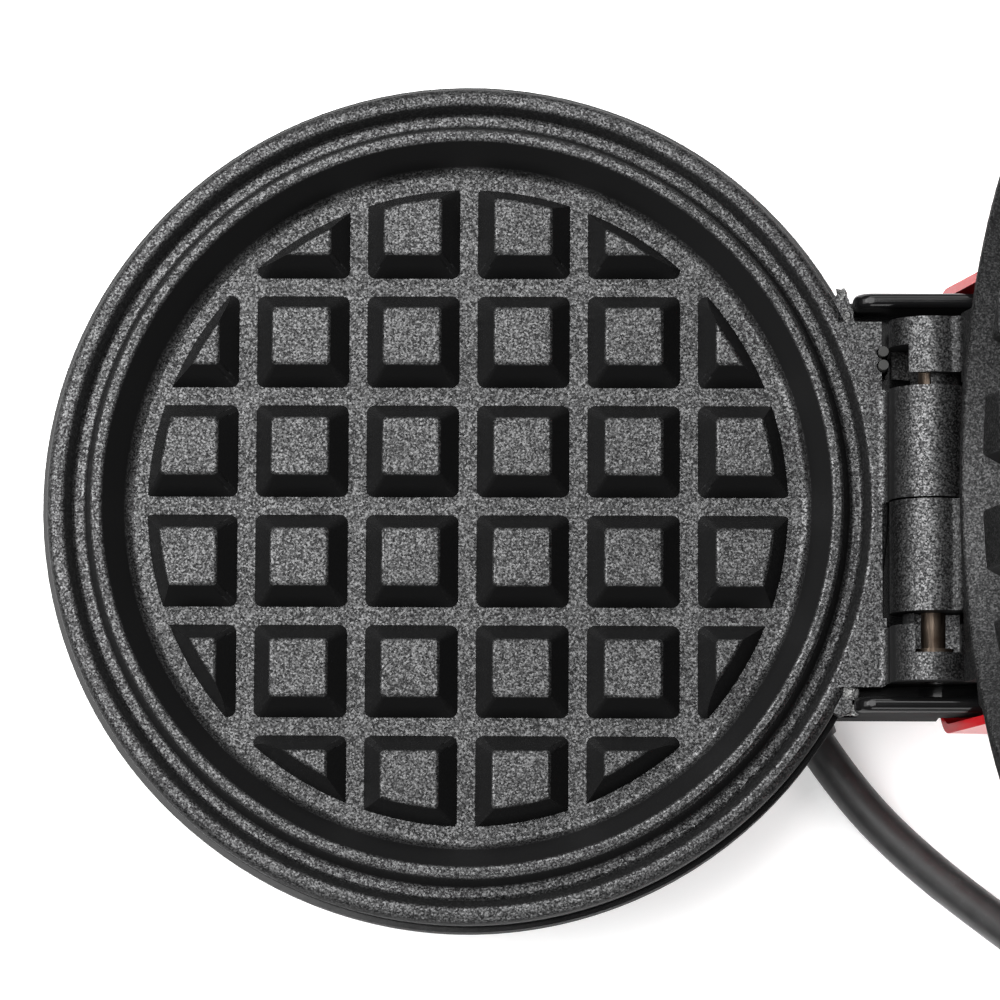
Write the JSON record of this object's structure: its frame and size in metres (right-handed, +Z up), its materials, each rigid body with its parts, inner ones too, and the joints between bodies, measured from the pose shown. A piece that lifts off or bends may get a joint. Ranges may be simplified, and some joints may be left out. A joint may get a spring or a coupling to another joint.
{
  "type": "waffle maker",
  "caption": "Round mini waffle maker with hinged red lid held open, black base, two lattice plates and a mains lead.",
  "frame": {"origin": "centre of the round base on the plane of the table", "axes": "+Z up out of the base, +X from the base's centre to the hinge, the hinge pin along Y; the lid is open at rest"},
  "size_m": [0.2311, 0.1522, 0.1814],
  "materials": {
    "nonstick": "cast aluminium under a dark speckled non-stick coat",
    "black_gloss": "moulded, polished",
    "black_matte": "moulded, fine texture",
    "red_gloss": "moulded, polished",
    "foot_rubber": "soft silicone",
    "heater_sheath": "annealed sheath, dull",
    "terminal_steel": "plated",
    "pressed_steel": "pressed sheet",
    "shield_aluminium": "rolled sheet",
    "thermostat_body": "brown phenolic",
    "zinc_screw": "zinc plated",
    "pin_steel": "drawn, slightly tarnished",
    "sleeve_black": "varnished glass-fibre braid",
    "cord_black": "PVC, satin",
    "tie_black": "coated wire strap",
    "blade_brass": "bare",
    "lead_white": "glass-fibre insulated",
    "lens_red": "clear red",
    "lens_green": "clear green",
    "board_brown": "phenolic card",
    "lamp_glass": "clear bulb"
  },
  "bodies": {
    "base": {"base_housing": "black_gloss", "bottom_cover": "black_matte", "cover_screws": "zinc_screw", "plate_screws": "zinc_screw", "foot_ring": "foot_rubber", "rear_feet": "foot_rubber", "lower_plate": "nonstick", "lower_element": "heater_sheath", "lower_terminals": "terminal_steel", "lower_element_clamp": "pressed_steel", "lower_heat_shield": "shield_aluminium", "lower_shield_spacers": "pressed_steel", "lower_shield_screws": "zinc_screw", "thermostat": "thermostat_body", "thermostat_clip": "pressed_steel", "thermal_fuse": "shield_aluminium", "fuse_clip": "pressed_steel", "hinge_pin": "pin_steel", "pin_clip": "pin_steel", "lead_sleeves": "sleeve_black", "strain_relief": "cord_black", "cord_clamp": "black_matte", "cord_clamp_screws": "zinc_screw", "cord_core": "cord_black", "base_leads": "lead_white", "power_cord": "cord_black", "cord_coil": "cord_black", "cord_tie": "tie_black", "cord_tail": "cord_black", "plug_body": "cord_black", "plug_blades": "blade_brass"},
    "lid": {"upper_plate": "nonstick", "upper_element": "heater_sheath", "upper_terminals": "terminal_steel", "upper_element_clamp": "pressed_steel", "upper_heat_shield": "shield_aluminium", "upper_shield_spacers": "pressed_steel", "upper_shield_screws": "zinc_screw", "lid_shell": "red_gloss", "lid_frame": "black_matte", "frame_screws": "zinc_screw", "lid_handle": "black_gloss", "handle_screws": "zinc_screw", "power_lens": "lens_red", "ready_lens": "lens_green", "lamp_board": "board_brown", "neon_lamps": "lamp_glass", "lid_leads": "lead_white"}
  },
  "joints": [
    {"name": "lid_hinge", "type": "hinge", "parent": "base", "child": "lid", "pos_m": [0.0682, 0, 0.036], "axis": [0, 1, 0], "range_deg": [-103, 0]}
  ]
}
